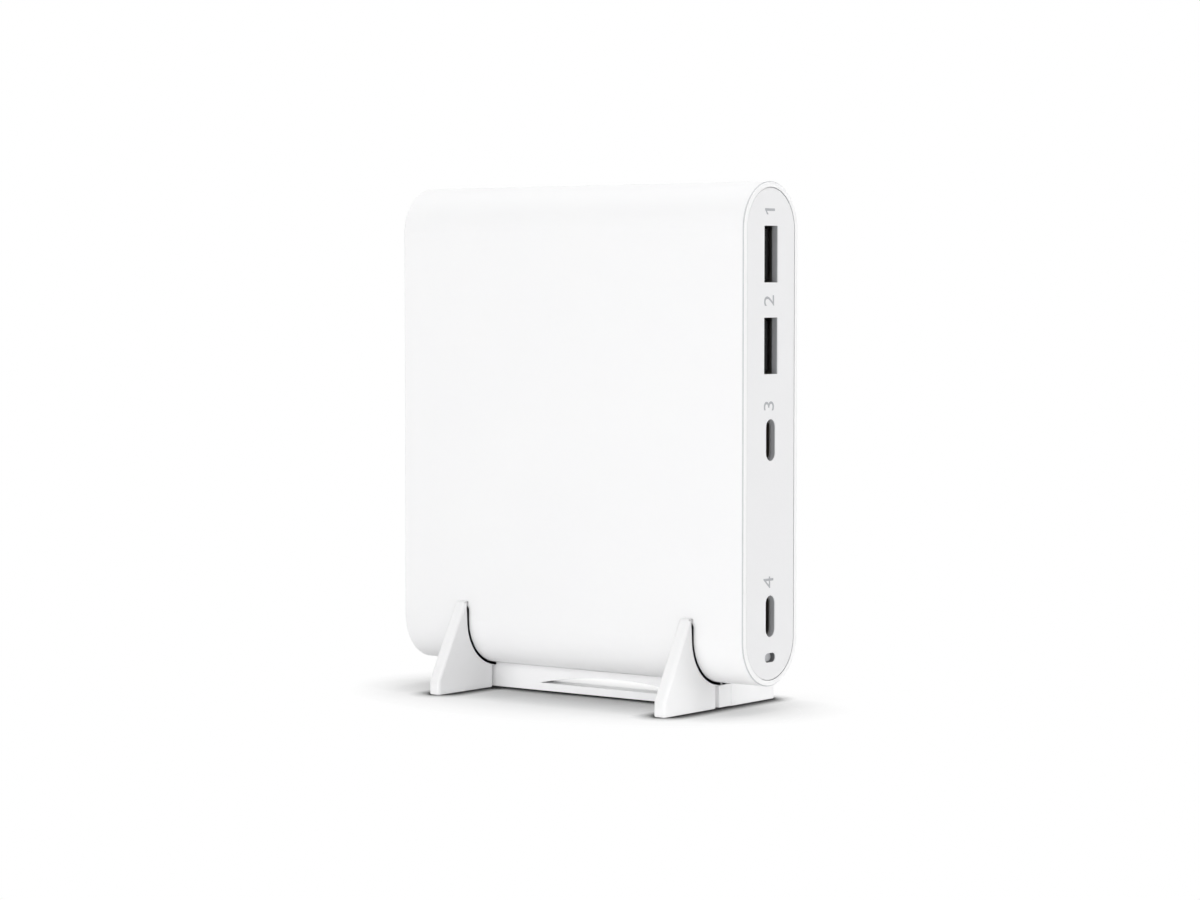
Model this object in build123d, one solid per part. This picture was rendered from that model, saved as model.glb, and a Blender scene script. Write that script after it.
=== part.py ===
"""Multi port desktop charger standing on edge in a two-legged stand. Millimetres, +Z up, ports at +X."""
import os
from math import sqrt

from build123d import *

# Charger housing
BODY_LENGTH = 98.7
BODY_HEIGHT = 112.8
BODY_THICKNESS = 21.4
WALL = 1.8
RIM_WIDTH = 1.3
RIM_CHAMFER = 0.3
PLATE_THICKNESS = 1.5
PLATE_RECESS = 0.05
PLATE_CHAMFER = 0.15
FIT = 0.1
RAIL_DEPTH = 1.5
RAIL_THICKNESS = 1.2
RAIL_SETBACK = 2.4

# Stand
SEAT_HEIGHT = 5.95
CRADLE_CLEARANCE = 0.15
LEG_THICKNESS = 3.2
LEFT_LEG_INSET = 18.4
RIGHT_LEG_INSET = 15.0
LEG_WEB = 0.5
LEG_CHAMFER = 0.5
LEG_END_HEIGHT = 3.5
STAND_WIDTH = 43.3
FIN_HEIGHT = 21.2
FIN_TIP = 1.2
FIN_TIP_ROUND = 0.7
BAR_LIFT = 0.15
BAR_CLEARANCE = 0.05
BAR_THICKNESS = 4.6
BAR_FRONT_Y = -0.75
BAR_GROOVE = 1.3
BAR_RIB = 1.2
ARCH_SILL = 1.8
ARCH_CROWN = 0.85
ARCH_LEFT_MARGIN = 13.6
ARCH_RIGHT_MARGIN = 4.6

# USB-A receptacles, placed down from the top of the housing
USB_A_UPPER_DROP = 16.2
USB_A_LOWER_DROP = 36.6
USB_A_WIDTH = 12.6
USB_A_OPENING = 5.2
USB_A_LENGTH = 14.0
USB_A_BLOCK = 4.0
USB_A_TONGUE_WIDTH = 11.1
USB_A_TONGUE_THICKNESS = 1.84
USB_A_TONGUE_MARGIN = 0.6
USB_A_TONGUE_SETBACK = 0.8
USB_A_CONTACT_INNER = 1.0
USB_A_CONTACT_OUTER = 3.5
USB_A_CONTACT_WIDTH = 1.0
USB_A_CONTACT_THICKNESS = 0.15
USB_A_CONTACT_SETBACK = 0.6
USB_A_TAIL = 0.4
SHELL_WALL = 0.3

# USB-C receptacles, one placed down from the top and one up from the bottom of the housing
USB_C_UPPER_DROP = 57.6
USB_C_LOWER_RISE = 15.75
USB_C_WIDTH = 8.34
USB_C_OPENING = 2.56
USB_C_LENGTH = 7.4
USB_C_DEPTH = 1.2
USB_C_GAP = 0.2
USB_C_BLOCK = 1.5
USB_C_TONGUE_WIDTH = 6.69
USB_C_TONGUE_THICKNESS = 0.7
USB_C_TONGUE_SETBACK = 0.8
USB_C_CONTACT_ROW = 12
USB_C_CONTACT_PITCH = 0.5
USB_C_CONTACT_WIDTH = 0.26
USB_C_CONTACT_THICKNESS = 0.08
USB_C_CONTACT_SETBACK = 0.3

# Status light under the ports
LED_RISE = 6.45
LED_WIDTH = 4.1
LED_OPENING = 2.1
LED_RECESS = 1.2
LED_FLANGE = 0.4
LED_FLANGE_THICKNESS = 0.8
LED_STEM = 6.0
LED_LENGTH = 2.0
LED_HEIGHT = 1.1

# Mains inlet
INLET_RISE = 26.0
INLET_LENGTH = 14.0
INLET_WALL = 1.3
INLET_FLANGE = 1.2
CAVITY_RADIUS = 4.2
CAVITY_WAIST = 7.4
CAVITY_DEPTH = 11.0
PIN_PITCH = 8.6
PIN_DIAMETER = 2.4
PIN_NOSE = 0.8
PIN_SETBACK = 1.5
PIN_BLADE_WIDTH = 3.2
PIN_BLADE_THICKNESS = 1.0
PIN_TAIL = 2.0

# Circuit board and heat path
BOARD_THICKNESS = 1.6
BOARD_SETBACK = 0.6
BOARD_GAP = 1.2
SPREADER = 0.8
SPREADER_MARGIN = 8.0
INSULATION = 0.4
HEADROOM = 0.9
CHIP_HEIGHT = 0.9
SWITCH_SIZE = 8.0
SWITCH_PITCH = 26.0
PAD_LAP = 0.5
PAD_THICKNESS = 0.5

# Mains filter and rectifier
FUSE_DIAMETER = 8.2
FUSE_HEIGHT = 7.6
FUSE_RISE = 9.0
X_CAPACITOR_LENGTH = 17.5
X_CAPACITOR_WIDTH = 7.5
X_CAPACITOR_ROUND = 0.8
Y_CAPACITOR_LENGTH = 9.0
Y_CAPACITOR_WIDTH = 4.2
Y_CAPACITOR_HEIGHT = 7.5
CHOKE_WIDTH = 15.0
CHOKE_LENGTH = 17.0
CHOKE_LEG = 3.6
CHOKE_BASE = 1.0
CHOKE_COIL = 1.4
CHOKE_GAP = 13.0
BRIDGE_LENGTH = 14.5
BRIDGE_WIDTH = 10.5
BRIDGE_HEIGHT = 3.6
BRIDGE_CHAMFER = 0.5

# Bulk capacitors
CAN_COUNT = 3
CAN_LENGTH = 25.0
CAN_GAP = 1.0
CAN_DROP = 4.3
CAN_SHOULDER = 0.6
CAN_HEADROOM = 0.3

# Transformer
CORE_OFFSET = 0.0
CORE_DROP = 4.3
CORE_LENGTH = 30.0
CORE_DEPTH = 16.0
CORE_PLATE = 2.2
CORE_POST = 8.0
CORE_LEG = 3.5
COIL_GAP = 0.15
COIL_ROUND = 3.0
BOBBIN_WALL = 0.7
TERMINAL_RAIL = 2.4

# Output stage
OUTPUT_GAP = 2.6
INDUCTOR_COUNT = 3
INDUCTOR_SIZE = 8.0
INDUCTOR_HEIGHT = 4.5
INDUCTOR_CHAMFER = 1.0
INDUCTOR_PITCH = 11.7
INDUCTOR_DROP = 38.0
OUTPUT_CAN_COUNT = 2
OUTPUT_CAN_DIAMETER = 6.3
OUTPUT_CAN_HEIGHT = 8.0
OUTPUT_CAN_PITCH = 8.0
OUTPUT_CAN_RISE = 24.0
CONTROLLER_COUNT = 3
CONTROLLER_SIZE = 5.0
CONTROLLER_PITCH = 24.0

# Planes that the pieces share
END_X = BODY_LENGTH / 2
FACE_X = END_X - PLATE_RECESS
SHOULDER_X = FACE_X - PLATE_THICKNESS
TOP_Z = SEAT_HEIGHT + BODY_HEIGHT
MID_Z = SEAT_HEIGHT + BODY_HEIGHT / 2
INNER_Y = BODY_THICKNESS / 2 - WALL
BOARD_Y = USB_A_OPENING / 2 + SHELL_WALL
BOARD_BACK_Y = BOARD_Y + BOARD_THICKNESS
BOARD_HALF = (BODY_HEIGHT - BODY_THICKNESS) / 2 + sqrt(INNER_Y**2 - BOARD_BACK_Y**2) - FIT
BOARD_END_X = SHOULDER_X - BOARD_SETBACK
SPREADER_Y = SPREADER - INNER_Y
ROOM = BOARD_Y - SPREADER_Y
CHIP_TOP_Y = BOARD_BACK_Y + CHIP_HEIGHT
INSULATION_Y = INNER_Y - SPREADER - INSULATION
INLET_Z = SEAT_HEIGHT + INLET_RISE
INLET_BACK_X = INLET_LENGTH - FACE_X
LED_Z = SEAT_HEIGHT + LED_RISE
LED_BACK_X = SHOULDER_X - LED_STEM
LEFT_LEG_X = LEFT_LEG_INSET - END_X
RIGHT_LEG_X = END_X - RIGHT_LEG_INSET
BAR_BACK_Y = BAR_FRONT_Y + BAR_THICKNESS
BAR_TOP_Z = SEAT_HEIGHT - CRADLE_CLEARANCE - LEG_WEB - FIT


def across(x, y=0.0, z=0.0):
    """Plane across the length: sketch x runs along Y, sketch y runs up, normal +X."""
    return Plane(origin=(x, y, z), x_dir=(0, 1, 0), z_dir=(1, 0, 0))


def facing(x, z, y):
    """Plane along the board: sketch x runs along X, sketch y runs up, normal -Y."""
    return Plane(origin=(x, y, z), x_dir=(1, 0, 0), z_dir=(0, -1, 0))


def upright_slot(height, width, x_from, x_to, z):
    """Prism of long-round section with its long axis upright."""
    return extrude(across(x_from, 0, z) * SlotOverall(height, width, rotation=90), x_to - x_from)


def flat_slot(width, height, x_from, x_to, z):
    """Prism of long-round section with its long axis along Y."""
    return extrude(across(x_from, 0, z) * SlotOverall(width, height), x_to - x_from)


def block(x_from, x_to, y_from, y_to, z_from, z_to):
    """Rectangular block between six planes."""
    middle = Pos((x_from + x_to) / 2, (y_from + y_to) / 2, (z_from + z_to) / 2)
    return middle * Box(x_to - x_from, y_to - y_from, z_to - z_from)


def on_board(outline, x, z, height, base=BOARD_Y):
    """Piece of the given plan outline that rises off the board towards -Y."""
    return extrude(facing(x, z, base) * outline, height)


nodes = {}

# Housing sleeve: tube of long-round section with eased rims and a rebate at each end for the plates
sleeve = upright_slot(BODY_HEIGHT, BODY_THICKNESS, -END_X, END_X, MID_Z)
rims = sleeve.edges().group_by(Axis.X)
sleeve = chamfer(rims[0] + rims[-1], RIM_CHAMFER)
sleeve -= upright_slot(BODY_HEIGHT - 2 * WALL, BODY_THICKNESS - 2 * WALL, -END_X, END_X, MID_Z)
rebate = upright_slot(BODY_HEIGHT - 2 * RIM_WIDTH, BODY_THICKNESS - 2 * RIM_WIDTH, SHOULDER_X, END_X, MID_Z)
sleeve -= rebate
sleeve -= mirror(rebate, about=Plane.YZ)

# Board rails: a pair of ribs at the top and at the bottom, cut off inside the wall
rail_reach = upright_slot(
    BODY_HEIGHT - WALL, BODY_THICKNESS - WALL, RAIL_SETBACK - SHOULDER_X, LED_BACK_X - RAIL_SETBACK, MID_Z
)
rail_span = BODY_HEIGHT / 2 - BOARD_HALF + RAIL_DEPTH
for rail_y in (BOARD_Y - FIT - RAIL_THICKNESS, BOARD_BACK_Y + FIT):
    for rail_z in (SEAT_HEIGHT, TOP_Z - rail_span):
        rail = block(-END_X, END_X, rail_y, rail_y + RAIL_THICKNESS, rail_z, rail_z + rail_span)
        sleeve += rail & rail_reach
nodes["housing_sleeve"] = sleeve

# End plates: flat mouldings that drop into the rebates, with eased edges
plate_inset = 2 * (RIM_WIDTH + FIT)
plate = upright_slot(BODY_HEIGHT - plate_inset, BODY_THICKNESS - plate_inset, SHOULDER_X, FACE_X, MID_Z)
plate = chamfer(plate.edges().group_by(Axis.X)[-1], PLATE_CHAMFER)

usb_a_places = {"upper": TOP_Z - USB_A_UPPER_DROP, "lower": TOP_Z - USB_A_LOWER_DROP}
usb_c_places = {"upper": TOP_Z - USB_C_UPPER_DROP, "lower": SEAT_HEIGHT + USB_C_LOWER_RISE}
capsule_width = USB_C_WIDTH + 2 * SHELL_WALL
capsule_height = USB_C_OPENING + 2 * SHELL_WALL

port_plate = plate
for z in usb_a_places.values():
    port_plate -= extrude(across(SHOULDER_X, 0, z) * Rectangle(USB_A_OPENING, USB_A_WIDTH), PLATE_THICKNESS)
for z in usb_c_places.values():
    port_plate -= upright_slot(
        capsule_width + 2 * USB_C_GAP, capsule_height + 2 * USB_C_GAP, SHOULDER_X, FACE_X, z
    )
port_plate -= flat_slot(LED_WIDTH, LED_OPENING, SHOULDER_X, FACE_X, LED_Z)
nodes["port_plate"] = port_plate

inlet_width = 2 * (CAVITY_RADIUS + INLET_WALL)
inlet_height = PIN_PITCH + inlet_width
inlet_plate = mirror(plate, about=Plane.YZ)
inlet_plate -= upright_slot(inlet_height + 2 * FIT, inlet_width + 2 * FIT, -FACE_X, -SHOULDER_X, INLET_Z)
nodes["inlet_plate"] = inlet_plate

# Mains inlet: long-round body with a figure eight cavity, and a flange behind its plate
inlet_body = upright_slot(inlet_height, inlet_width, -FACE_X, INLET_BACK_X, INLET_Z)
flange_height = inlet_height + 2 * INLET_FLANGE
flange_width = inlet_width + 2 * INLET_FLANGE
inlet_body += extrude(across(-SHOULDER_X, 0, INLET_Z) * Rectangle(flange_width, flange_height), INLET_FLANGE)
pin_places = (INLET_Z - PIN_PITCH / 2, INLET_Z + PIN_PITCH / 2)
cavity = extrude(across(-FACE_X, 0, INLET_Z) * Rectangle(CAVITY_WAIST, PIN_PITCH), CAVITY_DEPTH)
for z in pin_places:
    cavity += extrude(across(-FACE_X, 0, z) * Circle(CAVITY_RADIUS), CAVITY_DEPTH)
inlet_body -= cavity
for z in pin_places:
    blade_hole = Rectangle(PIN_BLADE_THICKNESS + FIT, PIN_BLADE_WIDTH + FIT)
    inlet_body -= extrude(across(-FACE_X, 0, z) * blade_hole, INLET_LENGTH)
nodes["inlet_body"] = inlet_body

# Inlet pins: round with a bevelled nose, then a flat blade through the body's end wall and down to the board
nose_x = PIN_SETBACK - FACE_X
floor_x = CAVITY_DEPTH - FACE_X
tail_x = INLET_BACK_X + BOARD_GAP
blade_half = PIN_BLADE_THICKNESS / 2
inlet_pins = Part()
for z in pin_places:
    low = z - PIN_BLADE_WIDTH / 2
    high = z + PIN_BLADE_WIDTH / 2
    pin = extrude(across(nose_x, 0, z) * Circle(PIN_DIAMETER / 2), floor_x - nose_x)
    pin = chamfer(pin.edges().group_by(Axis.X)[0], PIN_NOSE)
    pin += block(floor_x, tail_x + PIN_TAIL, -blade_half, blade_half, low, high)
    pin += block(tail_x, tail_x + PIN_TAIL, -blade_half, BOARD_Y, low, high)
    inlet_pins += pin
nodes["inlet_pins"] = inlet_pins

# Circuit board: slides in the rails, notched round the inlet
board = block(-BOARD_END_X, BOARD_END_X, BOARD_Y, BOARD_BACK_Y, MID_Z - BOARD_HALF, MID_Z + BOARD_HALF)
notch_half = flange_height / 2 + BOARD_GAP
notch_x = INLET_BACK_X + FIT
board -= block(-END_X, notch_x, 0, BODY_THICKNESS, INLET_Z - notch_half, INLET_Z + notch_half)
nodes["main_circuit_board"] = board

# USB-A receptacles: folded shell on the board, moulded tongue on a rear block, four contacts
usb_a_back = SHOULDER_X - USB_A_LENGTH
block_front = usb_a_back + USB_A_BLOCK
tongue_back_y = USB_A_OPENING / 2 - USB_A_TONGUE_MARGIN
tongue_y = tongue_back_y - USB_A_TONGUE_THICKNESS
tongue_front = SHOULDER_X - USB_A_TONGUE_SETBACK
contact_front = tongue_front - USB_A_CONTACT_SETBACK
contact_half = USB_A_CONTACT_WIDTH / 2
for place, z in usb_a_places.items():
    fold = Rectangle(USB_A_OPENING + 2 * SHELL_WALL, USB_A_WIDTH + 2 * SHELL_WALL)
    fold = fillet(fold.vertices(), 2 * SHELL_WALL) - Rectangle(USB_A_OPENING, USB_A_WIDTH)
    nodes[f"usb_a_{place}_shell"] = extrude(across(usb_a_back, 0, z) * fold, USB_A_LENGTH)
    rear = Rectangle(USB_A_OPENING - FIT, USB_A_WIDTH - FIT)
    insulator = extrude(across(usb_a_back, 0, z) * rear, USB_A_BLOCK)
    half = USB_A_TONGUE_WIDTH / 2
    insulator += block(block_front, tongue_front, tongue_y, tongue_back_y, z - half, z + half)
    nodes[f"usb_a_{place}_insulator"] = insulator
    contacts = Part()
    for side in (-USB_A_CONTACT_OUTER, -USB_A_CONTACT_INNER, USB_A_CONTACT_INNER, USB_A_CONTACT_OUTER):
        low = z + side - contact_half
        high = z + side + contact_half
        contacts += block(block_front, contact_front, tongue_y - USB_A_CONTACT_THICKNESS, tongue_y, low, high)
        contacts += block(usb_a_back - USB_A_TAIL, usb_a_back, 0, BOARD_Y, low, high)
    nodes[f"usb_a_{place}_contacts"] = contacts

# USB-C receptacles: drawn capsule shell, held level with the others by a riser moulded with the tongue
usb_c_front = FACE_X - USB_C_DEPTH
usb_c_back = usb_c_front - USB_C_LENGTH
stop_x = usb_c_back + USB_C_BLOCK
tip_x = usb_c_front - USB_C_TONGUE_SETBACK
flat_half = (capsule_width - capsule_height) / 2
lip = USB_C_TONGUE_THICKNESS / 2
for place, z in usb_c_places.items():
    shell = upright_slot(capsule_width, capsule_height, usb_c_back, usb_c_front, z)
    shell -= upright_slot(USB_C_WIDTH, USB_C_OPENING, usb_c_back, usb_c_front, z)
    nodes[f"usb_c_{place}_shell"] = shell
    insulator = upright_slot(USB_C_WIDTH - FIT, USB_C_OPENING - FIT, usb_c_back, stop_x, z)
    half = USB_C_TONGUE_WIDTH / 2
    insulator += block(stop_x, tip_x, -lip, lip, z - half, z + half)
    rear_x = usb_c_back - USB_C_BLOCK
    insulator += block(rear_x, usb_c_back, -capsule_height / 2, BOARD_Y, z - flat_half, z + flat_half)
    insulator += block(rear_x, BOARD_END_X, capsule_height / 2, BOARD_Y, z - flat_half, z + flat_half)
    nodes[f"usb_c_{place}_insulator"] = insulator
    contacts = Part()
    for step in range(USB_C_CONTACT_ROW):
        low = z + (step - (USB_C_CONTACT_ROW - 1) / 2) * USB_C_CONTACT_PITCH - USB_C_CONTACT_WIDTH / 2
        for y in (-lip - USB_C_CONTACT_THICKNESS, lip):
            contacts += block(
                stop_x,
                tip_x - USB_C_CONTACT_SETBACK,
                y,
                y + USB_C_CONTACT_THICKNESS,
                low,
                low + USB_C_CONTACT_WIDTH,
            )
    nodes[f"usb_c_{place}_contacts"] = contacts

# Light pipe: oblong window in the port plate, flange behind it, stem with a foot over the light
light_half = LED_OPENING / 2 - FIT
light_y = BOARD_Y - LED_HEIGHT
flange_x = SHOULDER_X - LED_FLANGE_THICKNESS
light_pipe = flat_slot(LED_WIDTH - 2 * FIT, 2 * light_half, SHOULDER_X, FACE_X - LED_RECESS, LED_Z)
flange = Rectangle(LED_WIDTH + 2 * LED_FLANGE, LED_OPENING + 2 * LED_FLANGE)
light_pipe += extrude(across(flange_x, 0, LED_Z) * flange, LED_FLANGE_THICKNESS)
low = LED_Z - light_half
high = LED_Z + light_half
light_pipe += block(LED_BACK_X, flange_x, -light_half, light_half, low, high)
light_pipe += block(LED_BACK_X, LED_BACK_X + LED_LENGTH, 0, light_y - FIT, low, high)
nodes["led_light_pipe"] = light_pipe
nodes["status_led"] = block(LED_BACK_X, LED_BACK_X + LED_LENGTH, light_y, BOARD_Y, low, high)

# Mains side of the board: fuse, line capacitors and bridge rectifier
filter_x = tail_x + PIN_TAIL + BOARD_GAP + X_CAPACITOR_WIDTH / 2
x_capacitor = on_board(Rectangle(X_CAPACITOR_WIDTH, X_CAPACITOR_LENGTH), filter_x, INLET_Z, ROOM - HEADROOM)
nodes["x_capacitor"] = fillet(x_capacitor.edges().filter_by(Axis.Y), X_CAPACITOR_ROUND)
fuse_z = MID_Z - BOARD_HALF + FUSE_RISE
fuse_x = filter_x + BOARD_GAP
nodes["mains_fuse"] = on_board(Circle(FUSE_DIAMETER / 2), fuse_x, fuse_z, FUSE_HEIGHT)
y_capacitor_x = fuse_x + FUSE_DIAMETER / 2 + BOARD_GAP + Y_CAPACITOR_LENGTH / 2
disc = SlotOverall(Y_CAPACITOR_LENGTH, Y_CAPACITOR_WIDTH)
nodes["y_capacitor"] = on_board(disc, y_capacitor_x, fuse_z, Y_CAPACITOR_HEIGHT)
bridge_x = y_capacitor_x + Y_CAPACITOR_LENGTH / 2 + BOARD_GAP + BRIDGE_LENGTH / 2
bridge = on_board(Rectangle(BRIDGE_LENGTH, BRIDGE_WIDTH), bridge_x, fuse_z, BRIDGE_HEIGHT)
nodes["bridge_rectifier"] = chamfer(bridge.edges().group_by(Axis.Y)[0], BRIDGE_CHAMFER)

# Filter choke: square ring core with a coil on each of its two upright legs, carried by a base
choke_x = CHOKE_WIDTH / 2 + CHOKE_COIL + BOARD_GAP - BOARD_END_X
choke_z = INLET_Z + notch_half + CHOKE_GAP
choke_height = ROOM - HEADROOM - CHOKE_BASE - 2 * CHOKE_COIL
choke_y = BOARD_Y - CHOKE_BASE - CHOKE_COIL
opening_width = CHOKE_WIDTH - 2 * CHOKE_LEG
opening_length = CHOKE_LENGTH - 2 * CHOKE_LEG
nodes["choke_base"] = on_board(Rectangle(CHOKE_WIDTH, CHOKE_LENGTH), choke_x, choke_z, CHOKE_BASE)
ring = Rectangle(CHOKE_WIDTH, CHOKE_LENGTH) - Rectangle(opening_width, opening_length)
nodes["choke_core"] = on_board(ring, choke_x, choke_z, choke_height, choke_y)
turn = Rectangle(CHOKE_LEG + 2 * CHOKE_COIL, choke_height + 2 * CHOKE_COIL)
turn = fillet(turn.vertices(), CHOKE_COIL) - Rectangle(CHOKE_LEG + FIT, choke_height + FIT)
coil_length = opening_length - 2 * FIT
choke_windings = Part()
for side in (-1, 1):
    coil_x = choke_x + side * (opening_width + CHOKE_LEG) / 2
    coil_place = Pos(coil_x, choke_y - choke_height / 2, choke_z - coil_length / 2)
    choke_windings += coil_place * extrude(turn, coil_length)
nodes["choke_windings"] = choke_windings

# Bulk capacitors: round-shouldered cans lying on the board, side by side along the top
can_radius = (ROOM - CAN_HEADROOM - FIT) / 2
can_z = TOP_Z - WALL - CAN_DROP - CAN_LENGTH
can = extrude(Circle(can_radius), CAN_LENGTH)
can = chamfer(can.edges().group_by(Axis.Z)[-1], CAN_SHOULDER)
for number in range(CAN_COUNT):
    can_x = BOARD_GAP + can_radius + number * (2 * can_radius + CAN_GAP) - BOARD_END_X
    nodes[f"bulk_capacitor_{number + 1}"] = Pos(can_x, BOARD_Y - can_radius - FIT, can_z) * can

# Transformer: flat core with a middle post, spool with terminal rails, taped winding, heat pad
core_z = MID_Z - CORE_DROP
core_height = ROOM - PAD_THICKNESS
window = core_height - 2 * CORE_PLATE
window_y = BOARD_Y - CORE_PLATE
core = on_board(Rectangle(CORE_DEPTH, CORE_LENGTH), CORE_OFFSET, core_z, core_height)
core -= on_board(Rectangle(CORE_DEPTH, CORE_LENGTH - 2 * CORE_LEG), CORE_OFFSET, core_z, window, window_y)
core += on_board(Rectangle(CORE_DEPTH, CORE_POST), CORE_OFFSET, core_z, window, window_y)
nodes["transformer_core"] = core
hub_x = CORE_DEPTH / 2 + COIL_GAP
hub_z = CORE_POST / 2 + COIL_GAP
spool_z = CORE_LENGTH / 2 - CORE_LEG - COIL_GAP
spool_x = hub_x + spool_z - hub_z
spool_y = window_y - COIL_GAP
spool_height = window - 2 * COIL_GAP
hub_outline = Rectangle(2 * (hub_x + BOBBIN_WALL), 2 * (hub_z + BOBBIN_WALL))
spool_outline = Rectangle(2 * spool_x, 2 * spool_z)
spool = on_board(spool_outline, CORE_OFFSET, core_z, spool_height, spool_y)
coil_height = spool_height - 2 * BOBBIN_WALL
spool -= on_board(spool_outline - hub_outline, CORE_OFFSET, core_z, coil_height, spool_y - BOBBIN_WALL)
for side in (-1, 1):
    rail_x = CORE_OFFSET + side * (spool_x - TERMINAL_RAIL / 2)
    spool += on_board(Rectangle(TERMINAL_RAIL, 2 * spool_z), rail_x, core_z, BOARD_Y - spool_y)
spool -= on_board(Rectangle(2 * hub_x, 2 * hub_z), CORE_OFFSET, core_z, core_height)
nodes["transformer_bobbin"] = spool
coil = Rectangle(2 * (spool_x - COIL_GAP), 2 * (spool_z - COIL_GAP))
coil = fillet(coil.vertices(), COIL_ROUND)
coil -= Rectangle(2 * (hub_x + BOBBIN_WALL) + FIT, 2 * (hub_z + BOBBIN_WALL) + FIT)
coil_y = spool_y - BOBBIN_WALL - FIT / 2
nodes["transformer_winding"] = on_board(coil, CORE_OFFSET, core_z, coil_height - FIT, coil_y)
pad = Rectangle(CORE_DEPTH - 2 * PAD_LAP, CORE_LENGTH - 2 * PAD_LAP)
nodes["transformer_pad"] = on_board(pad, CORE_OFFSET, core_z, PAD_THICKNESS, BOARD_Y - core_height)

# Output side of the board: shielded inductors, standing capacitors, port controllers behind
inductor_x = usb_a_back - USB_A_TAIL - OUTPUT_GAP - INDUCTOR_SIZE / 2
inductors = Part()
for number in range(INDUCTOR_COUNT):
    inductor_z = TOP_Z - INDUCTOR_DROP + (number - (INDUCTOR_COUNT - 1) / 2) * INDUCTOR_PITCH
    inductor = on_board(Rectangle(INDUCTOR_SIZE, INDUCTOR_SIZE), inductor_x, inductor_z, INDUCTOR_HEIGHT)
    inductors += chamfer(inductor.edges().filter_by(Axis.Y), INDUCTOR_CHAMFER)
nodes["output_inductors"] = inductors
output_cans = Part()
for number in range(OUTPUT_CAN_COUNT):
    output_z = SEAT_HEIGHT + OUTPUT_CAN_RISE + number * OUTPUT_CAN_PITCH
    output_cans += on_board(Circle(OUTPUT_CAN_DIAMETER / 2), inductor_x, output_z, OUTPUT_CAN_HEIGHT)
nodes["output_capacitors"] = output_cans
controllers = Part()
for number in range(CONTROLLER_COUNT):
    chip_z = MID_Z + (number - (CONTROLLER_COUNT - 1) / 2) * CONTROLLER_PITCH
    chip = Rectangle(CONTROLLER_SIZE, CONTROLLER_SIZE)
    controllers += on_board(chip, inductor_x, chip_z, CHIP_HEIGHT, CHIP_TOP_Y)
nodes["port_controllers"] = controllers

# Heat path: switches on the back of the board press through pads on the insulation and the rear spreader
switches = Part()
pads = Part()
for side in (-1, 1):
    switch_z = core_z + side * SWITCH_PITCH / 2
    switches += on_board(Rectangle(SWITCH_SIZE, SWITCH_SIZE), CORE_OFFSET, switch_z, CHIP_HEIGHT, CHIP_TOP_Y)
    pad = Rectangle(SWITCH_SIZE + 2 * PAD_LAP, SWITCH_SIZE + 2 * PAD_LAP)
    pads += on_board(pad, CORE_OFFSET, switch_z, INSULATION_Y - CHIP_TOP_Y, INSULATION_Y)
nodes["power_switches"] = switches
nodes["thermal_pads"] = pads
sheet = Rectangle(BODY_LENGTH - 2 * SPREADER_MARGIN, BODY_HEIGHT - BODY_THICKNESS - SPREADER_MARGIN)
nodes["front_heat_spreader"] = on_board(sheet, 0, MID_Z, SPREADER, SPREADER_Y)
nodes["rear_heat_spreader"] = on_board(sheet, 0, MID_Z, SPREADER, INNER_Y)
nodes["insulation_sheet"] = on_board(sheet, 0, MID_Z, INSULATION, INNER_Y - SPREADER)

# Stand legs: flat cradles whose fins rise to a thin crest against the flat of the housing
cradle = BODY_THICKNESS / 2 + CRADLE_CLEARANCE
cradle_z = SEAT_HEIGHT + BODY_THICKNESS / 2
leg_half = STAND_WIDTH / 2
leg_outline = Polyline(
    (-cradle, cradle_z),
    (-cradle, FIN_HEIGHT),
    (-cradle - FIN_TIP, FIN_HEIGHT),
    (-leg_half, LEG_END_HEIGHT),
    (-leg_half, 0),
    (leg_half, 0),
    (leg_half, LEG_END_HEIGHT),
    (cradle + FIN_TIP, FIN_HEIGHT),
    (cradle, FIN_HEIGHT),
    (cradle, cradle_z),
)
leg_outline += ThreePointArc((cradle, cradle_z), (0, cradle_z - cradle), (-cradle, cradle_z))
leg_section = make_face(leg_outline)
crests = leg_section.vertices().group_by(Axis.Y)[-1].sort_by(Axis.X)
leg_section = fillet([crests[0], crests[-1]], FIN_TIP_ROUND)
slot_front = BAR_FRONT_Y - BAR_GROOVE
slot_top = BAR_TOP_Z + FIT
for name, x in (("stand_leg_left", LEFT_LEG_X), ("stand_leg_right", RIGHT_LEG_X)):
    leg = extrude(across(x - LEG_THICKNESS / 2) * leg_section, LEG_THICKNESS)
    ends = leg.faces().group_by(Axis.X)
    edges = ends[0].edges() + ends[-1].edges()
    leg = chamfer([e for e in edges if e.center().Z > LEG_END_HEIGHT / 4], LEG_CHAMFER)
    leg -= block(x - LEG_THICKNESS, x + LEG_THICKNESS, slot_front, BAR_BACK_Y + FIT, 0, slot_top)
    leg += block(x - BAR_RIB / 2, x + BAR_RIB / 2, slot_front, BAR_FRONT_Y, 2 * BAR_LIFT, slot_top)
    nodes[name] = leg

# Stand crossbar: the legs drop over it, flush with its ends, and between them its crest rises to the housing.
# A slim arched slot lightens it
bar_ends = (LEFT_LEG_X - LEG_THICKNESS / 2, RIGHT_LEG_X + LEG_THICKNESS / 2)
arch_left = LEFT_LEG_X + LEG_THICKNESS / 2 + ARCH_LEFT_MARGIN
arch_right = RIGHT_LEG_X - LEG_THICKNESS / 2 - ARCH_RIGHT_MARGIN
sill_z = BAR_LIFT + ARCH_SILL
arch = Line((arch_right, sill_z), (arch_left, sill_z))
arch += ThreePointArc(
    (arch_left, sill_z), ((arch_left + arch_right) / 2, BAR_TOP_Z - ARCH_CROWN), (arch_right, sill_z)
)
crest_ends = (bar_ends[0] + LEG_THICKNESS + FIT, bar_ends[1] - LEG_THICKNESS - FIT)
bar = block(*bar_ends, BAR_FRONT_Y, BAR_BACK_Y, BAR_LIFT, BAR_TOP_Z)
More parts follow.
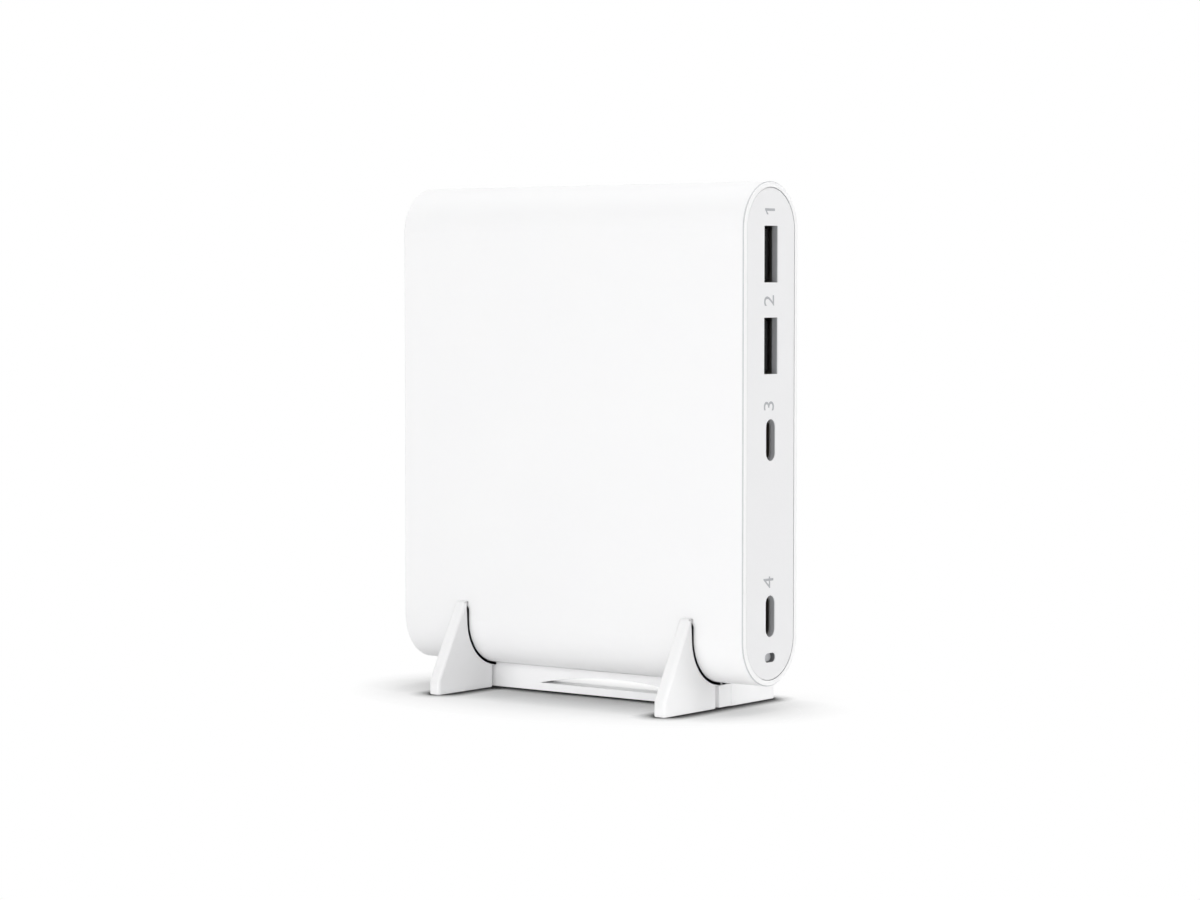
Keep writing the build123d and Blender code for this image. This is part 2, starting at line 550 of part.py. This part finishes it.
bar += block(*crest_ends, BAR_FRONT_Y, BAR_BACK_Y, BAR_LIFT, SEAT_HEIGHT - BAR_CLEARANCE)
nodes["stand_crossbar"] = bar - extrude(facing(0, 0, BAR_BACK_Y) * make_face(arch), BAR_THICKNESS)

os.makedirs("parts", exist_ok=True)
for name, shape in nodes.items():
    export_step(shape, f"parts/{name}.step")
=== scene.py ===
import math

import bmesh
import bpy
from mathutils import Matrix, Vector


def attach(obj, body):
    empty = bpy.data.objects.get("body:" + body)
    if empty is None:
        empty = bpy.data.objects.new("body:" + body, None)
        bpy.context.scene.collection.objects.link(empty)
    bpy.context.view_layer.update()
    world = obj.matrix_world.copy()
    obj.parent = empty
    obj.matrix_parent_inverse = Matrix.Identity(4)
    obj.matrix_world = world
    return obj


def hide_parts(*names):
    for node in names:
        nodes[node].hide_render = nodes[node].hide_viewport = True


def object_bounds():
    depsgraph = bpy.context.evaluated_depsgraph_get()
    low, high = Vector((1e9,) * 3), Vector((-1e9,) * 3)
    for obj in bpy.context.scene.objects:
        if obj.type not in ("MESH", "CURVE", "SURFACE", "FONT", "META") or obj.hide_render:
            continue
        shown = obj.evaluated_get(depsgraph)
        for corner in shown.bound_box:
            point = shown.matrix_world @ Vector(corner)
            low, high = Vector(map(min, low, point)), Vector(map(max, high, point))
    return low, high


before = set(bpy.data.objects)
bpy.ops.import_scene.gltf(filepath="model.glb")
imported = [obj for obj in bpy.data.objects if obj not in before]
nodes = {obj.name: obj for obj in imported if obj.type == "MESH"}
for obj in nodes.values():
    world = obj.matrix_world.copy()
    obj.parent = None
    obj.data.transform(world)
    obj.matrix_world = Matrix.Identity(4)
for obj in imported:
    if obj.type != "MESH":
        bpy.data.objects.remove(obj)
cad_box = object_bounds()
MM = 0.001


# Main circuit board: a laminate of glass fibre and epoxy, lacquered green over its copper tracks.
# It is cut to size and slides into the rails of the sleeve.
def linear(code):
    """Linear colour of an sRGB hex value."""
    channels = [int(code[i : i + 2], 16) / 255 for i in (1, 3, 5)]
    return [c / 12.92 if c <= 0.04045 else ((c + 0.055) / 1.055) ** 2.4 for c in channels] + [1.0]


def add(tree, kind, settings=None, links=None):
    """Node of one kind, with its attributes or input values set and its inputs linked to outputs."""
    made = tree.nodes.new(kind)
    for key, value in (settings or {}).items():
        if isinstance(key, int) or key in made.inputs:
            made.inputs[key].default_value = value
        else:
            setattr(made, key, value)
    for key, output in (links or {}).items():
        tree.links.new(output, made.inputs[key])
    return made


def start_material(name):
    """Empty node material: the material, its tree and its place on the object in metres."""
    material = bpy.data.materials.new(name)
    material.use_nodes = True
    material.node_tree.nodes.clear()
    place = add(material.node_tree, "ShaderNodeTexCoord").outputs["Object"]
    return material, material.node_tree, place


def end_material(tree, settings, links):
    """Principled shader with these sockets, joined to the output."""
    shader = add(tree, "ShaderNodeBsdfPrincipled", settings, links)
    add(tree, "ShaderNodeOutputMaterial", links={"Surface": shader.outputs["BSDF"]})


def dress(material, *names):
    """Gives CAD nodes their material."""
    for name in names:
        nodes[name].data.materials.clear()
        nodes[name].data.materials.append(material)


# Lacquered laminate: semi-gloss, with tracks a little paler than the ground between them.
laminate, tree, place = start_material("lacquered_glass_epoxy_laminate")
TRACK_RUN = 9.0 * MM
tracks = add(
    tree,
    "ShaderNodeTexBrick",
    {
        "Scale": 0.5 / TRACK_RUN,
        "Mortar Size": 0.03,
        "Color1": linear("#12442B"),
        "Color2": linear("#174F33"),
        "Mortar": linear("#2C6B48"),
    },
    {"Vector": place},
)
end_material(tree, {"Roughness": 0.35, "IOR": 1.55}, {"Base Color": tracks.outputs["Color"]})
dress(laminate, "main_circuit_board")


# Chips, switches and bridge rectifier: dies sealed in black epoxy moulding compound.
# They are soldered flat on the board by their leads.
def grained(name, dark, light, grain, settings, relief=0.0):
    """Finish of two close tones mixed by a grain of that size, which also gives a faint relief."""
    material, tree, place = start_material(name)
    speck = add(tree, "ShaderNodeTexNoise", {"Scale": 1 / grain, "Detail": 3.0}, {"Vector": place})
    tone = add(
        tree,
        "ShaderNodeMix",
        {"data_type": "RGBA", 6: linear(dark), 7: linear(light)},
        {0: speck.outputs["Fac"]},
    )
    bump = add(tree, "ShaderNodeBump", {"Distance": relief}, {"Height": speck.outputs["Fac"]})
    end_material(tree, settings, {"Base Color": tone.outputs[2], "Normal": bump.outputs["Normal"]})
    return material


# Moulding compound: dull black, with a grain of silica filler.
compound = grained(
    "epoxy_moulding_compound", "#171718", "#262627", 0.3 * MM, {"Roughness": 0.55, "IOR": 1.55}, 0.01 * MM
)
dress(compound, "port_controllers", "power_switches", "bridge_rectifier")

# Cores of the choke, the transformer and the output inductors: pressed and fired ferrite.
# Ferrite is matt charcoal with a slight metallic glint in its grain.
ferrite = grained(
    "fired_ferrite", "#2A2A2C", "#3B3B3E", 0.25 * MM, {"Roughness": 0.6, "Metallic": 0.2}, 0.015 * MM
)
dress(ferrite, "choke_core", "transformer_core", "output_inductors")

# Coils of the choke: enamelled copper wire, wound in even turns round the two legs of the core.
# The enamel leaves the copper warm and glossy, and the turns show as fine ridges.
enamelled_wire, tree, place = start_material("enamelled_copper_wire")
WIRE_PITCH = 0.6 * MM
turns = add(
    tree,
    "ShaderNodeTexWave",
    {"bands_direction": "Z", "Scale": math.pi / 10 / WIRE_PITCH, "Distortion": 0.3, "Detail": 1.0},
    {"Vector": place},
)
copper = add(
    tree,
    "ShaderNodeMix",
    {"data_type": "RGBA", 6: linear("#5E2A12"), 7: linear("#B96A34")},
    {0: turns.outputs["Fac"]},
)
ridges = add(tree, "ShaderNodeBump", {"Distance": 0.15 * MM}, {"Height": turns.outputs["Fac"]})
end_material(
    tree,
    {"Roughness": 0.3, "Metallic": 0.8, "Coat Weight": 0.5},
    {"Base Color": copper.outputs[2], "Normal": ridges.outputs["Normal"]},
)
dress(enamelled_wire, "choke_windings")

# Winding of the transformer: copper under layers of yellow polyester tape.
# The tape is smooth and glossy, with the wire faintly showing through.
tape = grained(
    "polyester_tape", "#C79A1E", "#E2B83A", 1.2 * MM, {"Roughness": 0.28, "IOR": 1.57}, 0.04 * MM
)
dress(tape, "transformer_winding")

# Spool of the transformer and base of the choke: moulded phenolic resin, dark brown and slightly glossy.
phenolic = grained(
    "moulded_phenolic", "#1E1612", "#2B201A", 0.4 * MM, {"Roughness": 0.42, "IOR": 1.6}, 0.01 * MM
)
dress(phenolic, "transformer_bobbin", "choke_base")

# Bulk and output capacitors: drawn aluminium cans in a shrunk black film sleeve.
# The film follows the can closely, so it is glossy with long faint draw lines.
film_sleeve, tree, place = start_material("shrunk_film_sleeve")
DRAW_LINE = 0.8 * MM
stretched = add(tree, "ShaderNodeMapping", {"Scale": (1.0, 1.0, 0.05)}, {"Vector": place})
draw = add(
    tree, "ShaderNodeTexNoise", {"Scale": 1 / DRAW_LINE, "Detail": 2.0}, {"Vector": stretched.outputs["Vector"]}
)
sleeve_tone = add(
    tree,
    "ShaderNodeMix",
    {"data_type": "RGBA", 6: linear("#141518"), 7: linear("#23252B")},
    {0: draw.outputs["Fac"]},
)
end_material(tree, {"Roughness": 0.3, "IOR": 1.5}, {"Base Color": sleeve_tone.outputs[2]})
dress(film_sleeve, "bulk_capacitor_1", "bulk_capacitor_2", "bulk_capacitor_3", "output_capacitors")

# Line capacitor: metallised film potted in a moulded yellow polyester box.
polyester_box = grained(
    "moulded_polyester_box", "#D9AE2B", "#E4BD45", 0.5 * MM, {"Roughness": 0.4, "IOR": 1.54}, 0.01 * MM
)
dress(polyester_box, "x_capacitor")

# Fuse: wire link in a round brown phenolic pot. Safety capacitor: ceramic disc dipped in blue epoxy.
fuse_pot = grained("brown_phenolic_pot", "#3A2218", "#4A2C20", 0.5 * MM, {"Roughness": 0.4, "IOR": 1.6})
dipped_epoxy = grained(
    "dipped_blue_epoxy", "#1F5C9B", "#2C6DAE", 1.5 * MM, {"Roughness": 0.25, "IOR": 1.55}, 0.03 * MM
)
dress(fuse_pot, "mains_fuse")
dress(dipped_epoxy, "y_capacitor")

# Heat spreaders: rolled aluminium sheet held flat against the wide walls of the sleeve.
# Rolling leaves a satin face with fine lines along the sheet.
rolled_sheet, tree, place = start_material("rolled_aluminium_sheet")
ROLL_LINE = 0.5 * MM
along = add(tree, "ShaderNodeMapping", {"Scale": (0.03, 1.0, 1.0)}, {"Vector": place})
lines = add(
    tree, "ShaderNodeTexNoise", {"Scale": 1 / ROLL_LINE, "Detail": 2.0}, {"Vector": along.outputs["Vector"]}
)
satin = add(tree, "ShaderNodeMapRange", {"To Min": 0.3, "To Max": 0.45}, {"Value": lines.outputs["Fac"]})
end_material(
    tree, {"Base Color": linear("#C9CACC"), "Metallic": 1.0}, {"Roughness": satin.outputs["Result"]}
)
dress(rolled_sheet, "front_heat_spreader", "rear_heat_spreader")

# Thermal pads: soft filled silicone, pressed between the hot parts and the sheets. Matt and chalky.
silicone = grained(
    "filled_silicone_pad", "#8E9196", "#A2A5AA", 0.3 * MM, {"Roughness": 0.8, "IOR": 1.41}, 0.02 * MM
)
dress(silicone, "thermal_pads", "transformer_pad")

# Insulation sheet: tough white polyester film between the board and the rear sheet, milky and smooth.
polyester_film = grained(
    "milky_polyester_film", "#D8DADB", "#E4E6E7", 6.0 * MM, {"Roughness": 0.3, "IOR": 1.64}
)
dress(polyester_film, "insulation_sheet")

# Status light: a small white package soldered under the foot of the light pipe, with a resin face.
resin_light = grained(
    "cast_resin_light", "#D9D4C2", "#E9E5D6", 0.4 * MM, {"Roughness": 0.3, "IOR": 1.5}
)
dress(resin_light, "status_led")

# Light pipe: one smoked polycarbonate moulding, whose front is the oblong window under the ports.
# Unlit it looks a milky pale grey, with a gloss on its polished face.
smoked_polycarbonate = grained(
    "smoked_polycarbonate", "#CDCED1", "#D5D6D9", 0.8 * MM, {"Roughness": 0.22, "IOR": 1.585}
)
dress(smoked_polycarbonate, "led_light_pipe")

# Receptacle shells: thin steel strip, folded for the wide ports and drawn for the round-ended ones.
# Nickel plating gives a bright grey metal, slightly clouded by the forming.
nickel_steel, tree, place = start_material("nickel_plated_steel")
CLOUD = 1.5 * MM
cloud = add(tree, "ShaderNodeTexNoise", {"Scale": 1 / CLOUD, "Detail": 4.0}, {"Vector": place})
plating = add(tree, "ShaderNodeMapRange", {"To Min": 0.24, "To Max": 0.4}, {"Value": cloud.outputs["Fac"]})
end_material(
    tree, {"Base Color": linear("#B4B2AE"), "Metallic": 1.0}, {"Roughness": plating.outputs["Result"]}
)
PORTS = ("usb_a_upper", "usb_a_lower", "usb_c_upper", "usb_c_lower")
for port in PORTS:
    dress(nickel_steel, f"{port}_shell")

# Receptacle tongues: black heat-proof polymer moulded round the contacts, with a dull eroded face.
tongue_polymer = grained(
    "moulded_liquid_crystal_polymer",
    "#0A0A0B",
    "#121213",
    0.25 * MM,
    {"Roughness": 0.7, "IOR": 1.6, "Specular IOR Level": 0.2},
    0.01 * MM,
)
for port in PORTS:
    dress(tongue_polymer, f"{port}_insulator")

# Receptacle contacts: phosphor bronze springs with a flash of gold where the plug rubs.
gold_flash, tree, place = start_material("gold_flashed_bronze")
RUB = 0.4 * MM
rub = add(tree, "ShaderNodeTexNoise", {"Scale": 1 / RUB, "Detail": 2.0}, {"Vector": place})
gold = add(
    tree,
    "ShaderNodeMix",
    {"data_type": "RGBA", 6: linear("#B8924A"), 7: linear("#D9B56A")},
    {0: rub.outputs["Fac"]},
)
end_material(tree, {"Metallic": 1.0, "Roughness": 0.3}, {"Base Color": gold.outputs[2]})
for port in PORTS:
    dress(gold_flash, f"{port}_contacts")

# Mains inlet: black glass-filled nylon body with two turned brass pins, bright nickel plated.
# The filled nylon is dull with a fine fibre grain.
filled_nylon = grained(
    "glass_filled_nylon", "#141415", "#1F1F20", 0.35 * MM, {"Roughness": 0.48, "IOR": 1.53}, 0.015 * MM
)
dress(filled_nylon, "inlet_body")
dress(nickel_steel, "inlet_pins")


# Housing sleeve: one tube of white polycarbonate and ABS, moulded over a long core and polished.
# Its rims are flush with the end plates and turn into the walls over a small eased edge.
def port_end_of(name):
    """Furthest reach of a CAD node towards the ports."""
    return max((nodes[name].matrix_world @ Vector(corner)).x for corner in nodes[name].bound_box)


# Polished white polycarbonate and ABS: opaque, close to neutral, with a clean soft gloss.
# Flow in the mould leaves a broad cloud in the gloss. The polish marks are finer than the render shows,
# so they are drawn at half a millimetre. A thin grey line is drawn round the sleeve close behind each rim.
gloss_white, tree, place = start_material("polished_white_pc_abs")
FLOW = 30.0 * MM
POLISH = 0.5 * MM
RIM_LINE_SETBACK = 0.2 * MM
RIM_LINE_WIDTH = 0.24 * MM
POLISH_DEPTH = 0.002 * MM
flow = add(tree, "ShaderNodeTexNoise", {"Scale": 1 / FLOW, "Detail": 2.0}, {"Vector": place})
polish = add(tree, "ShaderNodeTexNoise", {"Scale": 1 / POLISH, "Detail": 2.0}, {"Vector": place})
white = add(
    tree,
    "ShaderNodeMix",
    {"data_type": "RGBA", 6: linear("#F8F8F9"), 7: linear("#FAFAFA")},
    {0: flow.outputs["Fac"]},
)
gloss = add(tree, "ShaderNodeMapRange", {"To Min": 0.35, "To Max": 0.45}, {"Value": flow.outputs["Fac"]})
sleeve_end = port_end_of("housing_sleeve")
axes = add(tree, "ShaderNodeSeparateXYZ", links={"Vector": place})
outward = add(tree, "ShaderNodeMath", {"operation": "ABSOLUTE"}, {0: axes.outputs["X"]})
line = add(
    tree,
    "ShaderNodeMath",
    {"operation": "COMPARE", 1: sleeve_end - RIM_LINE_SETBACK, 2: RIM_LINE_WIDTH / 2},
    {0: outward.outputs["Value"]},
)
rim_lined = add(
    tree,
    "ShaderNodeMix",
    {"data_type": "RGBA", 7: linear("#CACBCD")},
    {0: line.outputs["Value"], 6: white.outputs[2]},
)
marks = add(tree, "ShaderNodeBump", {"Distance": POLISH_DEPTH}, {"Height": polish.outputs["Fac"]})
end_material(
    tree,
    {"IOR": 1.55},
    {"Base Color": rim_lined.outputs[2], "Roughness": gloss.outputs["Result"], "Normal": marks.outputs["Normal"]},
)
dress(gloss_white, "housing_sleeve")

# End plates: flat mouldings snapped into the rebates, with the port openings moulded through.
# Their outer faces are sprayed white. The walls of the openings carry painted shade: a grey that stands in for
# the shade inside them.
# White lacquer: a little duller than the sleeve, with the fine grain of the spray.
satin_white, tree, place = start_material("white_lacquer_painted_shade_in_openings")
plate_face = port_end_of("port_plate")
# Painted shade: below this depth the walls of the openings take grey in place of the white.
SHADE_BELOW_FACE = 0.25 * MM
axes = add(tree, "ShaderNodeSeparateXYZ", links={"Vector": place})
outward = add(tree, "ShaderNodeMath", {"operation": "ABSOLUTE"}, {0: axes.outputs["X"]})
white_face_share = add(
    tree,
    "ShaderNodeMapRange",
    {"From Min": plate_face - SHADE_BELOW_FACE, "From Max": plate_face - SHADE_BELOW_FACE / 2},
    {"Value": outward.outputs["Value"]},
)
SPRAY_GRAIN = 0.4 * MM
SPRAY_DEPTH = 0.006 * MM
grain = add(tree, "ShaderNodeTexNoise", {"Scale": 1 / SPRAY_GRAIN, "Detail": 3.0}, {"Vector": place})
white = add(
    tree,
    "ShaderNodeMix",
    {"data_type": "RGBA", 6: linear("#EDEDEE"), 7: linear("#EFEFF0")},
    {0: grain.outputs["Fac"]},
)
# The opening of the light gets a darker painted shade than the port openings.
LIGHT_OPENING_TOP = 16.0 * MM
in_light_opening = add(
    tree, "ShaderNodeMath", {"operation": "LESS_THAN", 1: LIGHT_OPENING_TOP}, {0: axes.outputs["Z"]}
)
# Painted shade of the opening walls: pale grey in the ports, darker grey in the opening of the light.
painted_wall_shade = add(
    tree,
    "ShaderNodeMix",
    {"data_type": "RGBA", 6: linear("#B0B1B4"), 7: linear("#707072")},
    {0: in_light_opening.outputs["Value"]},
)
# The white face and the painted shade of the walls are mixed by depth.
lacquer_and_painted_shade = add(
    tree,
    "ShaderNodeMix",
    {"data_type": "RGBA"},
    {0: white_face_share.outputs["Result"], 6: painted_wall_shade.outputs[2], 7: white.outputs[2]},
)
pits = add(tree, "ShaderNodeBump", {"Distance": SPRAY_DEPTH}, {"Height": grain.outputs["Fac"]})
end_material(
    tree,
    {"IOR": 1.55, "Roughness": 0.42},
    {"Base Color": lacquer_and_painted_shade.outputs[2], "Normal": pits.outputs["Normal"]},
)
dress(satin_white, "port_plate", "inlet_plate")

# Port numbers: plain figures in grey ink, pad printed on the plate above each port.
# They read upwards, as the housing also lies flat on its broad side.
# Pad printing ink: matt and thin, with pinholes where the pad leaves it short.
ink = grained("grey_pad_printing_ink", "#A9AAAE", "#B6B7BB", 0.3 * MM, {"Roughness": 0.6, "IOR": 1.5})
FIGURE_SIZE = 5.6 * MM
FIGURE_MIDDLE_Y = -0.5 * MM
INK_FILM = 0.01 * MM
# The figure 1 has a flag, which the built-in type lacks. Its corners are shares of the figure's size.
FIGURE_ONE = (
    (0.05, -0.34),
    (0.05, 0.34),
    (-0.01, 0.34),
    (-0.19, 0.2),
    (-0.19, 0.1),
    (-0.05, 0.21),
    (-0.05, -0.34),
)
for figure, height in (("1", 112.4), ("2", 92.2), ("3", 68.8), ("4", 29.4)):
    if figure == "1":
        outline = bpy.data.curves.new(f"port_number_{figure}", "CURVE")
        outline.dimensions = "2D"
        outline.fill_mode = "BOTH"
        stroke = outline.splines.new("POLY")
        stroke.points.add(len(FIGURE_ONE) - 1)
        stroke.use_cyclic_u = True
        for point, (across, up) in zip(stroke.points, FIGURE_ONE):
            point.co = (across * FIGURE_SIZE, up * FIGURE_SIZE, 0.0, 1.0)
    else:
        outline = bpy.data.curves.new(f"port_number_{figure}", "FONT")
        outline.body = figure
        outline.size = FIGURE_SIZE
        outline.align_x = "CENTER"
        outline.align_y = "CENTER"
    outline.extrude = INK_FILM
    text = bpy.data.objects.new("outline", outline)
    bpy.context.scene.collection.objects.link(text)
    shaped = text.evaluated_get(bpy.context.evaluated_depsgraph_get())
    print_film = bpy.data.meshes.new_from_object(shaped)
    bpy.data.objects.remove(text)
    stands = Matrix(((0, 0, 1), (0, -1, 0), (1, 0, 0))).to_4x4()
    spot = Vector((plate_face + INK_FILM, FIGURE_MIDDLE_Y, height * MM))
    print_film.transform(Matrix.Translation(spot) @ stands)
    number = bpy.data.objects.new(f"port_number_{figure}", print_film)
    number.data.materials.clear()
    number.data.materials.append(ink)
    bpy.context.scene.collection.objects.link(number)
    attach(number, "root")


# Stand legs and crossbar: solid white mouldings, polished like the sleeve. The legs drop over the bar
# and cradle the housing between their fins. Their edges are rounded to the touch, and hardly at all along
# the seat, where they follow the housing closely.
low_corner, high_corner = nodes["housing_sleeve"].bound_box[0], nodes["housing_sleeve"].bound_box[6]
housing_half = (high_corner[1] - low_corner[1]) / 2
housing_round_middle = low_corner[2] + housing_half
SEAT_MARGIN = 0.75 * MM
EASED_FROM = math.radians(30)
FLAT_WITHIN = math.radians(0.5)
WELD = 0.001 * MM


def on_seat(spot):
    """Whether a point lies along the housing's outer face."""
    below = min(spot.z - housing_round_middle, 0.0)
    return math.hypot(spot.y, below) - housing_half < SEAT_MARGIN


def eased(name, ease, seat_ease):
    """Moulding that shows in place of its CAD node, with the node's form and its edges rounded."""
    form = bmesh.new()
    form.from_mesh(nodes[name].data)
    bmesh.ops.remove_doubles(form, verts=form.verts, dist=WELD)
    bmesh.ops.dissolve_limit(form, angle_limit=FLAT_WITHIN, verts=form.verts, edges=form.edges)
    for face in form.faces:
        face.smooth = True
    share = form.edges.layers.float.new("bevel_weight_edge")
    for edge in form.edges:
        edge.smooth = True
        if edge.calc_face_angle(0.0) > EASED_FROM:
            middle = (edge.verts[0].co + edge.verts[1].co) / 2
            edge[share] = seat_ease / ease if on_seat(middle) else 1.0
    mesh = bpy.data.meshes.new(f"{name}_moulding")
    form.to_mesh(mesh)
    form.free()
    if "custom_normal" in mesh.attributes:
        mesh.attributes.remove(mesh.attributes["custom_normal"])
    piece = bpy.data.objects.new(f"{name}_moulding", mesh)
    bpy.context.scene.collection.objects.link(piece)
    rounding = piece.modifiers.new("eased_edges", "BEVEL")
    rounding.limit_method = "WEIGHT"
    rounding.width = ease
    rounding.segments = 3
    rounding.use_clamp_overlap = False
    flat_faces = piece.modifiers.new("flat_faces", "WEIGHTED_NORMAL")
    flat_faces.keep_sharp = False
    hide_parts(name)
    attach(piece, "root")
    return piece


for name, ease, seat_ease in (
    ("stand_leg_left", 0.3, 0.018),
    ("stand_leg_right", 0.3, 0.018),
    ("stand_crossbar", 0.05, 0.05),
):
    stand_piece = eased(name, ease * MM, seat_ease * MM)
    stand_piece.data.materials.append(gloss_white)

# Studio floor: a white paper sweep. Near the object it takes the soft shadow, and further out it
# turns to the plain white of the background for what looks at it or mirrors it. Two reaches of occlusion
# deepen the shade close to the feet and round them.
def seen_plainly(tree):
    """Light path node, and an output that is 1 for what looks at a thing, mirrors it or sees it through glass."""
    path = add(tree, "ShaderNodeLightPath")
    seen = path.outputs["Is Camera Ray"]
    for ray in ("Is Glossy Ray", "Is Transmission Ray"):
        either = add(tree, "ShaderNodeMath", {"operation": "MAXIMUM"}, {0: seen, 1: path.outputs[ray]})
        seen = either.outputs["Value"]
    return path, seen


FLOOR_HALF = 4.0
SHADOW_LENGTH = 60.0 * MM
SHADOW_DEPTH = 36.0 * MM
SHADOW_CORE = 0.26
SHADOW_MIDDLE = (0.0, -10.0 * MM, 0.0)
CONTACT_REACH = 5.8 * MM
CONTACT_OPEN = (0.7, 0.98)
CONTACT_SHADE = 0.05
HALO_REACH = 18.0 * MM
HALO_OPEN = (0.45, 1.0)
HALO_SHADE = 0.68
FIBRE = 2.0 * MM
paper, tree, place = start_material("white_paper_sweep")
path, seen = seen_plainly(tree)
ahead = add(tree, "ShaderNodeVectorMath", {"operation": "SUBTRACT", 1: SHADOW_MIDDLE}, {0: place})
oval = add(
    tree,
    "ShaderNodeVectorMath",
    {"operation": "DIVIDE", 1: (SHADOW_LENGTH, SHADOW_DEPTH, 1.0)},
    {0: ahead.outputs["Vector"]},
)
distance = add(tree, "ShaderNodeVectorMath", {"operation": "LENGTH"}, {0: oval.outputs["Vector"]})
beyond = add(
    tree,
    "ShaderNodeMapRange",
    {"From Min": SHADOW_CORE, "From Max": 1.0},
    {"Value": distance.outputs["Value"]},
)
share = add(
    tree,
    "ShaderNodeMath",
    {"operation": "MULTIPLY"},
    {0: seen, 1: beyond.outputs["Result"]},
)
fibre = add(tree, "ShaderNodeTexNoise", {"Scale": 1 / FIBRE, "Detail": 2.0}, {"Vector": place})
sheet = add(
    tree,
    "ShaderNodeMix",
    {"data_type": "RGBA", 6: linear("#FAFAFA"), 7: linear("#FCFCFC")},
    {0: fibre.outputs["Fac"]},
)
nook = add(tree, "ShaderNodeAmbientOcclusion", {"samples": 8, "Distance": CONTACT_REACH})
edge = add(
    tree,
    "ShaderNodeMapRange",
    {"From Min": CONTACT_OPEN[0], "From Max": CONTACT_OPEN[1], "To Min": CONTACT_SHADE, "To Max": 1.0},
    {"Value": nook.outputs["AO"]},
)
surround = add(tree, "ShaderNodeAmbientOcclusion", {"samples": 4, "Distance": HALO_REACH})
halo = add(
    tree,
    "ShaderNodeMapRange",
    {"From Min": HALO_OPEN[0], "From Max": HALO_OPEN[1], "To Min": HALO_SHADE, "To Max": 1.0},
    {"Value": surround.outputs["AO"]},
)
contact = add(
    tree,
    "ShaderNodeMath",
    {"operation": "MULTIPLY"},
    {0: edge.outputs["Result"], 1: halo.outputs["Result"]},
)
# Painted shade: the occlusion darkens the paper's colour for the camera near the feet.
sheet_with_painted_shade = add(
    tree,
    "ShaderNodeMix",
    {"data_type": "RGBA", "blend_type": "MULTIPLY"},
    {0: path.outputs["Is Camera Ray"], 6: sheet.outputs[2], 7: contact.outputs["Value"]},
)
matt = add(tree, "ShaderNodeBsdfDiffuse", links={"Color": sheet_with_painted_shade.outputs[2]})
# Further out the plain white carries the same painted shade.
clear = add(tree, "ShaderNodeEmission", {"Strength": 1.0}, {"Color": contact.outputs["Value"]})
mixed = add(
    tree,
    "ShaderNodeMixShader",
    links={0: share.outputs["Value"], 1: matt.outputs["BSDF"], 2: clear.outputs["Emission"]},
)
add(tree, "ShaderNodeOutputMaterial", links={"Surface": mixed.outputs["Shader"]})
sweep = bpy.data.meshes.new("paper_sweep")
corners = [(-FLOOR_HALF, -FLOOR_HALF, 0), (FLOOR_HALF, -FLOOR_HALF, 0)]
corners += [(FLOOR_HALF, FLOOR_HALF, 0), (-FLOOR_HALF, FLOOR_HALF, 0)]
sweep.from_pydata(corners, [], [(0, 1, 2, 3)])
sweep.materials.append(paper)
floor = bpy.data.objects.new("paper_sweep", sweep)
bpy.context.scene.collection.objects.link(floor)

# Studio room: an even white tent. What looks at it or mirrors it sees plain white.
TENT_LIGHT = 0.2
world = bpy.data.worlds.new("white_tent")
world.use_nodes = True
tree = world.node_tree
tree.nodes.clear()
path, seen = seen_plainly(tree)
tent = add(tree, "ShaderNodeBackground", {"Strength": TENT_LIGHT})
plain = add(tree, "ShaderNodeBackground", {"Strength": 1.0})
tent.inputs["Color"].default_value = plain.inputs["Color"].default_value = (1, 1, 1, 1)
room = add(
    tree,
    "ShaderNodeMixShader",
    links={0: seen, 1: tent.outputs["Background"], 2: plain.outputs["Background"]},
)
add(tree, "ShaderNodeOutputWorld", links={"Surface": room.outputs["Shader"]})
bpy.context.scene.world = world

# Lamps: softboxes overhead, in front of the broad wall, off the near corner and off the port end.
aim = (Vector(cad_box[0]) + Vector(cad_box[1])) / 2
for name, spot, size, power in (
    ("overhead_softbox", Vector((0.1, 0.2, 1.25)), 0.9, 9.0),
    ("front_softbox", Vector((-0.22, -1.42, 0.4)), 0.8, 7.0),
    ("corner_softbox", Vector((0.77, -1.38, 0.2)), 1.4, 9.2),
    ("port_end_softbox", Vector((1.25, 0.5, 0.25)), 0.8, 7.2),
):
    lamp = bpy.data.lights.new(name, "AREA")
    lamp.size = size
    lamp.energy = power
    softbox = bpy.data.objects.new(name, lamp)
    softbox.location = spot
    softbox.rotation_euler = (aim - spot).to_track_quat("-Z", "Y").to_euler()
    bpy.context.scene.collection.objects.link(softbox)

# Camera: a long lens, a little above the middle of the housing, turned towards the port end.
LENS = 95.37
VIEW_TURN = math.radians(37.449)
VIEW_RISE = math.radians(2.926)
VIEW_DISTANCE = 738.07 * MM
VIEW_CENTRE = Vector((1.44, -0.08, 57.448)) * MM
lens = bpy.data.cameras.new("long_lens")
lens.lens = LENS
lens.sensor_width = 36.0
lens.clip_start = 0.01
camera = bpy.data.objects.new("camera", lens)
outward = Vector((math.sin(VIEW_TURN), -math.cos(VIEW_TURN), math.tan(VIEW_RISE))).normalized()
camera.location = VIEW_CENTRE + VIEW_DISTANCE * outward
camera.rotation_euler = (-outward).to_track_quat("-Z", "Y").to_euler()
bpy.context.scene.collection.objects.link(camera)
bpy.context.scene.camera = camera
bpy.context.scene.view_settings.view_transform = "Standard"
